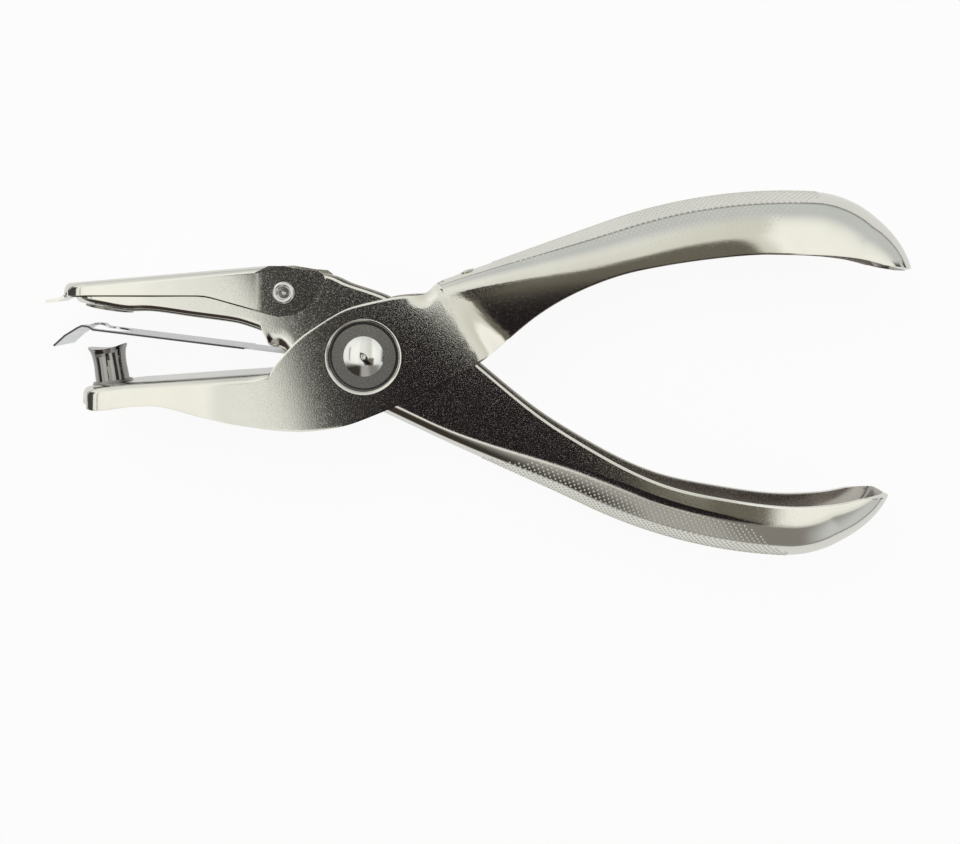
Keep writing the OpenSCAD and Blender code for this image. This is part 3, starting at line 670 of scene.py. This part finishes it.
def pivotRivet():
    # the domed main rivet, with a small punched dimple in each head
    top = lever["width"] - pivot["inset"]
    seat = lever["width"] - lever["recessDepth"]
    edge = pivot["headWidth"] / 2
    head = [(0, top - 0.3), (0.2, top - 0.27), (0.32, top - 0.12), (0.42, top - 0.03)]
    head += domeProfile(edge, pivot["dome"], top, pivot["domeSteps"])[1:]
    head += [(edge - 0.02, seat + 0.06), (edge - 0.1, seat), (pivot["rivet"] / 2, seat)]
    return turned("pivotRivetTurned", head + [(r, lever["width"] - z) for r, z in head[::-1]], 0, 0)


def coverRivet(name, near):
    # a small tubular rivet: a rolled lip round a hollow with a bright pip at its bottom
    outside = middle + coverHalf
    lip = tube["width"] / 2
    roll, rise = tube["roll"], tube["rollRise"]
    centre = lip - roll
    rolled = [(centre + roll * math.cos(a), outside + 0.02 + roll * rise * math.sin(a))
              for a in (math.radians(v) for v in range(180, -31, -30))]
    shank = tube["shank"] / 2
    inside = middle + innerHalf - lever["sheet"]
    profile = [(0, outside - 0.12), (0.16, outside - 0.16), (0.26, outside - 0.3), (0.34, outside - 0.42),
               (centre - roll - 0.12, outside - 0.42)] + rolled
    profile += [(lip - 0.12, outside - 0.02), (shank, outside - 0.02), (shank, inside - 0.25),
                (0, inside - 0.3)]
    if not near:
        profile = [(r, lever["width"] - z) for r, z in profile[::-1]]
    return turned(name, profile, cover["hingeX"], cover["hingeY"], tube["steps"])


outerSheet = outerLever()
innerSheet = innerLever()
pivotTurned = pivotRivet()
coverRivetNear = coverRivet("coverRivetNearTurned", True)
coverRivetFar = coverRivet("coverRivetFarTurned", False)
print("levers and rivets made", len(outerSheet.data.polygons), len(innerSheet.data.polygons))


def coverSheet():
    # the lid: a folded sheet with a hemmed flange, an ear on each side for its rivet and a finger tab
    start = Vector((cover["startX"], cover["startY"]))
    front = Vector((cover["frontX"], coverTop(cover["frontX"])))
    flange = [(-48.6, 6.5), (-43, 7), (-34, 7.45), (-26, 7.87), (-24.4, 7.74), (-20, 6.75), (-15.2, 5.7)]
    heading = 180 + cover["slope"]
    line = straightRun(start, heading, (front - start).length, cover["steps"])
    line += bow(*line[-1], cover["nose"], cover["noseTurn"], skin["noseSteps"])
    end, last = line[-1]
    line.append((end + cover["noseEnd"] * direction(last), last))
    stations = []
    for p, h in line:
        x = p.x + cover["noseSlant"] * ease(heading, heading + cover["noseTurn"], h)
        rim = (x, curveHeight(flange, x))
        stations.append(station(p, rim, coverHalfAt(p.x), cover["bend"], hem=cover["hem"]))
    shell = leverSkin("coverShell", stations[::-1], False)
    thicken(shell, cover["sheet"] * mm)
    ear = [(-17.6, coverTop(-17.6) - 1.0), (-16.2, coverTop(-16.2) - 0.4), (-15.4, 13.2), (-13, 13.35),
           (-9.7, 12.95), (-7.6, 12.9), (-6.8, 12.4), (-6.5, 11.6), (-8.4, 8.6), (-9.9, 6.7), (-11.3, 5.8),
           (-13.6, 5.4)] + [(x, curveHeight(flange, x)) for x in (-15.2, -16.4, -17.6)]
    for side in (-1, 1):
        bm = bmesh.new()
        tilt = side * cover["earTilt"]
        low, high = ([bm.verts.new((x * mm, y * mm, (z - tilt * (x - ear[0][0])) * mm)) for x, y in ear]
                     for z in (middle + side * (coverHalf - cover["sheet"]), middle + side * coverHalf))
        bm.faces.new(low)
        bm.faces.new(high)
        for i in range(len(ear)):
            n = (i + 1) % len(ear)
            bm.faces.new([low[i], low[n], high[n], high[i]])
        bmesh.ops.recalc_face_normals(bm, faces=bm.faces)
        cut(shell, newObject("ear", bm), "UNION")
    tab = [(-48.2, 6.7), (-49.2, 6.1), (-51.1, 5.75)]  # its middle line, from the nose outwards
    bm = bmesh.new()
    rows = []
    for k, p in enumerate(tab):
        a, b = Vector(tab[max(k - 1, 0)]), Vector(tab[min(k + 1, len(tab) - 1)])
        v = (b - a).normalized()
        n = Vector((-v.y, v.x)) * cover["sheet"] / 2
        w = cover["tabWidth"] / 2
        top, under = Vector(p) + n, Vector(p) - n
        rows.append([bm.verts.new(Vector((q.x, q.y, middle + z)) * mm)
                     for q, z in ((top, -w), (top, w), (under, w), (under, -w))])
    for a, b in zip(rows, rows[1:]):
        for i in range(4):
            bm.faces.new([a[i], a[(i + 1) % 4], b[(i + 1) % 4], b[i]])
    bm.faces.new(rows[0])
    bm.faces.new(rows[-1][::-1])
    bmesh.ops.recalc_face_normals(bm, faces=bm.faces)
    cut(shell, newObject("tab", bm), "UNION")
    drill(shell, cover["hingeX"], cover["hingeY"], cover["hingeHole"], tube["steps"])
    weld = shell.modifiers.new("weld", "WELD")
    weld.merge_threshold = cover["weld"] * mm
    flat = shell.modifiers.new("flat", "DECIMATE")
    flat.decimate_type = "DISSOLVE"
    flat.angle_limit = math.radians(cover["flatAngle"])
    applyModifiers(shell)
    roundEdges(shell, cover["edge"] * mm)
    shell.name = "chipCoverSheet"
    smoothShade(shell, crease["sheet"])
    return shell


coverShell = coverSheet()
print("cover folded", len(coverShell.data.polygons))


knurl = dict(diameter=0.38, height=0.11, pitch=0.9, rowGap=0.52, startX=19.0, endX=69.5, sides=8, rings=4,
             flatAngle=10.0, taper=46.0, taperLength=9.0, lineSteps=200)


def knurlPlaces(side, half):
    # middle and outward direction of each pip, in rows along a handle's crown that are set half a pitch off
    crown = crownLine(0, knurl["lineSteps"])
    line = [(a, b, h) for (a, h), (b, _) in zip(crown, crown[1:])]
    length = sum((b - a).length for a, b, _ in line)
    places = []
    count = int(length / (knurl["pitch"] / 2))
    for k in range(count):
        along, i = k * knurl["pitch"] / 2, 0
        while i < len(line) - 1 and along > (line[i][1] - line[i][0]).length:
            along -= (line[i][1] - line[i][0]).length
            i += 1
        a, b, heading = line[i]
        p = a + (b - a).normalized() * along
        if not knurl["startX"] < p.x < knurl["endX"]:
            continue
        f = ease(*handle["widen"], p.x) if side < 0 else 1
        z = half + (handleHalf - half) * f
        bend = bendAt(p.x)
        roundZ = min(bend, z - skin["leastFlat"])
        radius = (bend + roundZ) / 2
        out = Vector((-math.sin(math.radians(heading)), math.cos(math.radians(heading))))
        top = Vector((p.x, p.y - handle["drop"]))
        ends = 1 - min(ease(knurl["startX"], knurl["startX"] + knurl["taperLength"], p.x),
                       ease(knurl["endX"], knurl["endX"] - knurl["taperLength"], p.x))
        least = math.radians(knurl["flatAngle"] + knurl["taper"] * ends)
        rows = int((radius * math.pi / 2 + z - roundZ) / knurl["rowGap"])
        for row in range(-rows, rows + 1):
            if (row + k) % 2:
                continue
            across = abs(row) * knurl["rowGap"]
            turn = math.pi / 2 - max(0, across - (z - roundZ)) / radius
            if turn < least:
                continue
            depth = bend * (1 - math.sin(turn))
            height = min(across, z - roundZ) + roundZ * math.cos(turn)
            normal = Vector((*(out * math.sin(turn) / bend), math.copysign(math.cos(turn) / roundZ, row)))
            normal.normalize()
            spot = top - out * depth
            spotZ = middle + math.copysign(height * squeeze(spot.x), row)
            places.append((Vector((spot.x, side * spot.y, spotZ)) * mm,
                           Vector((normal.x, side * normal.y, normal.z))))
    return places


def knurlTree(mat):
    # pips on the given points, each turned to its point's own outward direction
    tree = bpy.data.node_groups.new("knurlPips", "GeometryNodeTree")
    face = tree.interface
    face.new_socket("Geometry", in_out="INPUT", socket_type="NodeSocketGeometry")
    for name in ("Pip Radius", "Pip Height"):
        face.new_socket(name, in_out="INPUT", socket_type="NodeSocketFloat").subtype = "DISTANCE"
    for name in ("Sides", "Rings"):
        face.new_socket(name, in_out="INPUT", socket_type="NodeSocketInt")
    face.new_socket("Geometry", in_out="OUTPUT", socket_type="NodeSocketGeometry")
    nodes, links = tree.nodes, tree.links
    given = nodes.new("NodeGroupInput")
    pip = nodes.new("GeometryNodeMeshUVSphere")
    pip.inputs["Radius"].default_value = 1
    links.new(given.outputs["Sides"], pip.inputs["Segments"])
    links.new(given.outputs["Rings"], pip.inputs["Rings"])
    size = nodes.new("ShaderNodeCombineXYZ")
    for axis, name in (("X", "Pip Radius"), ("Y", "Pip Radius"), ("Z", "Pip Height")):
        links.new(given.outputs[name], size.inputs[axis])
    outward = nodes.new("GeometryNodeInputNamedAttribute")
    outward.data_type = "FLOAT_VECTOR"
    outward.inputs["Name"].default_value = "outward"
    turn = nodes.new("FunctionNodeAlignRotationToVector")
    turn.axis = "Z"
    links.new(outward.outputs["Attribute"], turn.inputs["Vector"])
    place = nodes.new("GeometryNodeInstanceOnPoints")
    links.new(given.outputs["Geometry"], place.inputs["Points"])
    links.new(pip.outputs["Mesh"], place.inputs["Instance"])
    links.new(turn.outputs["Rotation"], place.inputs["Rotation"])
    links.new(size.outputs["Vector"], place.inputs["Scale"])
    real = nodes.new("GeometryNodeRealizeInstances")
    links.new(place.outputs["Instances"], real.inputs["Geometry"])
    smooth = nodes.new("GeometryNodeSetShadeSmooth")
    links.new(real.outputs["Geometry"], smooth.inputs["Geometry"])
    dressed = nodes.new("GeometryNodeSetMaterial")
    dressed.inputs["Material"].default_value = mat
    links.new(smooth.outputs["Geometry"], dressed.inputs["Geometry"])
    result = nodes.new("NodeGroupOutput")
    links.new(dressed.outputs["Geometry"], result.inputs["Geometry"])
    return tree


def knurling(name, side, half, tree):
    # the pips of one handle as a mesh of their own
    places = knurlPlaces(side, half)
    mesh = bpy.data.meshes.new(name)
    mesh.from_pydata([p for p, _ in places], [], [])
    outward = mesh.attributes.new("outward", "FLOAT_VECTOR", "POINT")
    outward.data.foreach_set("vector", [c for _, n in places for c in n])
    obj = bpy.data.objects.new(name, mesh)
    bpy.context.scene.collection.objects.link(obj)
    m = obj.modifiers.new("pips", "NODES")
    m.node_group = tree
    sizes = {"Pip Radius": knurl["diameter"] / 2 * mm, "Pip Height": knurl["height"] * mm,
             "Sides": knurl["sides"], "Rings": knurl["rings"]}
    for item in tree.interface.items_tree:
        if item.in_out == "INPUT" and item.name in sizes:
            m[item.identifier] = sizes[item.name]
    applyModifiers(obj)
    print(name, len(places), "pips")
    return obj


pipTree = knurlTree(leverNickel)
outerKnurl = knurling("upperHandleKnurl", 1, outerHalf, pipTree)
innerKnurl = knurling("lowerHandleKnurl", -1, innerHalf, pipTree)
for obj, body in ((outerKnurl, "outer_half"), (innerKnurl, "inner_half")):
    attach(obj, body)


def dress(obj, mat):
    obj.data.materials.clear()
    obj.data.materials.append(mat)


for obj, mat, body, node, slot in (
        (outerSheet, leverNickel, "outer_half", "outer_lever", "lever_nickel"),
        (innerSheet, leverNickel, "inner_half", "inner_lever", "lever_nickel"),
        (coverShell, coverNickel, "cover", "chip_cover", "cover_nickel"),
        (pivotTurned, brightSteel, "outer_half", "pivot_rivet", "bright_steel"),
        (coverRivetNear, brightSteel, "inner_half", "cover_rivet_near", "bright_steel"),
        (coverRivetFar, brightSteel, "inner_half", "cover_rivet_far", "bright_steel")):
    if not obj.data.materials:
        dress(obj, mat)
    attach(obj, body)
    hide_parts(node)

# the return spring, which winds up as the tool closes: here the frame's wire, welded and smooth shaded,
# with no leg made to follow the inner lever
bm = bmesh.new()
bm.from_mesh(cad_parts["return_spring"].data)
bmesh.ops.remove_doubles(bm, verts=bm.verts, dist=1e-6)
springWire = newObject("returnSpringWire", bm)
dress(springWire, darkSteel)
smoothShade(springWire, crease["wire"])
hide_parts("return_spring")
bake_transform(springWire)

# the pieces that keep the frame's own shape
nodeLooks = dict(pivot_sleeve=darkSteel, punch=punchSteel, punch_collar=darkSteel, die_bush=darkSteel,
                 stripper_leaf=leafSteel, stripper_anchor=brightSteel, stripper_rivets=brightSteel)
for node, mat in nodeLooks.items():
    dress(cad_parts[node], mat)
print("materials set")


table = dict(size=3000, drop=0.1, paper=0.9, roughness=0.8, seen=0.93, mirrored=0.5)


def tableTop():
    # the white ground: paper that glows, so that the camera and the metal see it nearly white
    bm = bmesh.new()
    bmesh.ops.create_grid(bm, x_segments=1, y_segments=1, size=table["size"] * mm)
    bmesh.ops.translate(bm, verts=bm.verts, vec=(0, 0, -table["drop"] * mm))  # clear of what rests on it
    obj = newObject("tableTop", bm)
    mat, tree, shader = nodeMaterial("tablePaper", [table["paper"]] * 3, 0, table["roughness"])
    nodes, links = tree.nodes, tree.links
    out = nodes["Material Output"]
    glow = nodes.new("ShaderNodeEmission")
    glow.inputs["Color"].default_value = (1.0, 1.0, 1.0, 1)
    path = nodes.new("ShaderNodeLightPath")
    total = None
    for ray, share in (("Is Camera Ray", table["seen"]), ("Is Glossy Ray", table["mirrored"])):
        seen = nodes.new("ShaderNodeMath")
        seen.operation = "MULTIPLY_ADD"
        seen.inputs[1].default_value = share
        seen.inputs[2].default_value = 0
        links.new(path.outputs[ray], seen.inputs[0])
        if total:
            links.new(total, seen.inputs[2])
        total = seen.outputs["Value"]
    mix = nodes.new("ShaderNodeMixShader")
    links.new(total, mix.inputs["Fac"])
    links.new(shader.outputs["BSDF"], mix.inputs[1])
    links.new(glow.outputs["Emission"], mix.inputs[2])
    links.new(mix.outputs["Shader"], out.inputs["Surface"])
    obj.data.materials.append(mat)


tableTop()


def softLight(name, place, aim, size, power):
    # a faint lamp for the shadow only: mirrors don't show it
    data = bpy.data.lights.new(name, "AREA")
    data.shape = "DISK"
    data.size = size
    data.energy = power
    obj = bpy.data.objects.new(name, data)
    obj.location = Vector(place)
    obj.rotation_euler = (Vector(aim) - Vector(place)).to_track_quat("-Z", "Y").to_euler()
    obj.visible_glossy = False
    bpy.context.scene.collection.objects.link(obj)


softLight("windowLight", place=(-0.25, 0.35, 0.5), aim=(0.02, 0, 0), size=0.3, power=0.6)


# colours of the room that the metal mirrors, and where they change: X and Y limits are slopes off
# straight up, the Side, Back and Up ones parts of the direction itself
room = dict(left=(0.98, 0.98, 0.93), right=(0.8, 0.8, 0.71), far=(1.15, 1.15, 1.08),
            top=(0.66, 0.68, 0.68), bottom=(0.44, 0.425, 0.4), bench=(0.27, 0.255, 0.235),
            horizon=(0.3, 0.3, 0.29), corner=(0.05, 0.04, 0.035), shelf=(0.16, 0.145, 0.115),
            grey=(0.07, 0.066, 0.06), dark=(0.016, 0.012, 0.014), strength=0.95,
            rightX=(-0.15, 0.2), farX=(0.24, 0.33), shelfX=(0.1, 0.17), shelfY=(-0.08, -0.16),
            bottomSide=(-0.25, -0.1), benchSide=(0.05, 0.25), topSide=(0.42, 0.65), topBack=(-0.4, 0.4),
            windowSide=(-0.2, -0.6), windowBack=(-0.55, -0.2), horizonUp=(0.14, 0.03),
            wallUp=(0.97, 0.5), wallY=(-0.35, -0.6), least=0.02)
bars = dict(count=9.0, edge=(-0.6, -0.2), fromX=(0.75, 0.95), spread=(0.5, 0.35), least=0.01)
slant = dict(lean=(0.585, 0.811), edge=-0.06, sideLean=(0.944, 0.33), sideEdge=-0.203, sharp=0.006,
             sideSoft=0.03, endX=(0.425, 0.355), endY=(-0.51, -0.45), darkX=(-0.19, -0.05),
             brownLean=(1, 1.2), brownEdge=(-0.215, -0.15), brownX=(0.0, 0.07))


def roomWorld():
    # a pale room whose ceiling holds one dark slanting shape, with greyer walls and window bars beside it
    world = bpy.data.worlds.new("room")
    bpy.context.scene.world = world
    world.use_nodes = True
    tree = world.node_tree
    nodes, links = tree.nodes, tree.links

    def calc(kind, *values):
        n = nodes.new("ShaderNodeMath")
        n.operation = kind
        for socket, value in zip(n.inputs, values):
            if isinstance(value, (int, float)):
                socket.default_value = value
            else:
                links.new(value, socket)
        return n.outputs["Value"]

    def softStep(value, start, end):
        n = nodes.new("ShaderNodeMapRange")
        n.interpolation_type = "SMOOTHSTEP"
        n.inputs["From Min"].default_value = start
        n.inputs["From Max"].default_value = end
        links.new(value, n.inputs["Value"])
        return n.outputs["Result"]

    def tilted(lean):
        return calc("ADD", calc("MULTIPLY", x, lean[0]), calc("MULTIPLY", y, lean[1]))

    def blended(factor, a, b):
        n = nodes.new("ShaderNodeMix")
        n.data_type = "RGBA"
        links.new(factor, n.inputs["Factor"])
        for socket, colour in ((n.inputs["A"], a), (n.inputs["B"], b)):
            if isinstance(colour, tuple):
                socket.default_value = (*colour, 1)
            else:
                links.new(colour, socket)
        return n.outputs["Result"]

    coord = nodes.new("ShaderNodeTexCoord")
    split = nodes.new("ShaderNodeSeparateXYZ")
    links.new(coord.outputs["Generated"], split.inputs["Vector"])
    side, back, z = (split.outputs[axis] for axis in "XYZ")
    height = calc("MAXIMUM", z, room["least"])
    x = calc("DIVIDE", side, height)
    y = calc("DIVIDE", back, height)
    wide, deep = calc("ABSOLUTE", x), calc("ABSOLUTE", y)

    ceiling = blended(softStep(x, *room["rightX"]), room["left"], room["right"])
    ceiling = blended(softStep(wide, *room["farX"]), ceiling, room["far"])
    shelf = calc("MULTIPLY", softStep(x, *room["shelfX"]), softStep(y, *room["shelfY"]))
    shelf = calc("MULTIPLY", shelf, softStep(x, *slant["endX"]))
    ceiling = blended(shelf, ceiling, room["shelf"])
    walls = blended(softStep(side, *room["bottomSide"]), room["corner"], room["bottom"])
    walls = blended(softStep(side, *room["benchSide"]), walls, room["bench"])
    walls = blended(softStep(side, *room["topSide"]), walls, room["top"])
    walls = blended(softStep(back, *room["topBack"]), walls, room["top"])
    window = calc("MULTIPLY", softStep(side, *room["windowSide"]), softStep(back, *room["windowBack"]))
    walls = blended(window, walls, room["left"])
    walls = blended(softStep(z, *room["horizonUp"]), walls, room["horizon"])
    lowered = calc("MAXIMUM", softStep(z, *room["wallUp"]), softStep(y, *room["wallY"]))
    colour = blended(lowered, ceiling, walls)

    swing = calc("MULTIPLY", calc("ARCTAN2", side, height), bars["count"])
    across = calc("DIVIDE", deep, calc("MAXIMUM", wide, bars["least"]))
    sideways = calc("MULTIPLY", softStep(wide, *bars["fromX"]), softStep(across, *bars["spread"]))
    barred = calc("MULTIPLY", softStep(calc("SINE", swing), *bars["edge"]), sideways)
    colour = blended(barred, colour, room["grey"])

    edge, sideEdge, sharp = slant["edge"], slant["sideEdge"], slant["sharp"]
    shape = calc("MULTIPLY", softStep(tilted(slant["lean"]), edge + sharp, edge - sharp),
                 softStep(tilted(slant["sideLean"]), sideEdge - sharp, sideEdge + slant["sideSoft"]))
    shape = calc("MULTIPLY", shape, softStep(x, *slant["endX"]))
    shape = calc("MULTIPLY", shape, softStep(y, *slant["endY"]))
    inner = blended(softStep(x, *slant["darkX"]), room["grey"], room["dark"])
    brown = calc("MULTIPLY", softStep(tilted(slant["brownLean"]), *slant["brownEdge"]),
                 softStep(x, *slant["brownX"]))
    inner = blended(brown, inner, room["shelf"])
    colour = blended(shape, colour, inner)
    background = nodes["Background"]
    links.new(colour, background.inputs["Color"])
    background.inputs["Strength"].default_value = room["strength"]


roomWorld()


camera = dict(x=19.19, y=16.03, z=199.0, aimX=18.68, aimY=-9.2, aimZ=14.0, turn=3.0, focalPixels=1194.8,
              imageWidth=960, sensor=36.0, nearClip=5.0)


def placeCamera():
    data = bpy.data.cameras.new("photoCamera")
    data.sensor_width = camera["sensor"]
    data.lens = camera["sensor"] * camera["focalPixels"] / camera["imageWidth"]
    data.clip_start = camera["nearClip"] * mm
    obj = bpy.data.objects.new("photoCamera", data)
    bpy.context.scene.collection.objects.link(obj)
    eye = Vector((camera["x"], camera["y"], camera["z"])) * mm
    aim = Vector((camera["aimX"], camera["aimY"], camera["aimZ"])) * mm
    a = math.radians(camera["turn"])
    top = Vector((-math.sin(a), math.cos(a), 0))
    back = (eye - aim).normalized()
    right = top.cross(back).normalized()
    top = back.cross(right)
    obj.matrix_world = Matrix((
        (right.x, top.x, back.x, eye.x), (right.y, top.y, back.y, eye.y), (right.z, top.z, back.z, eye.z),
        (0, 0, 0, 1)))
    bpy.context.scene.camera = obj


placeCamera()
bpy.context.scene.view_settings.view_transform = "Standard"
print("camera placed")
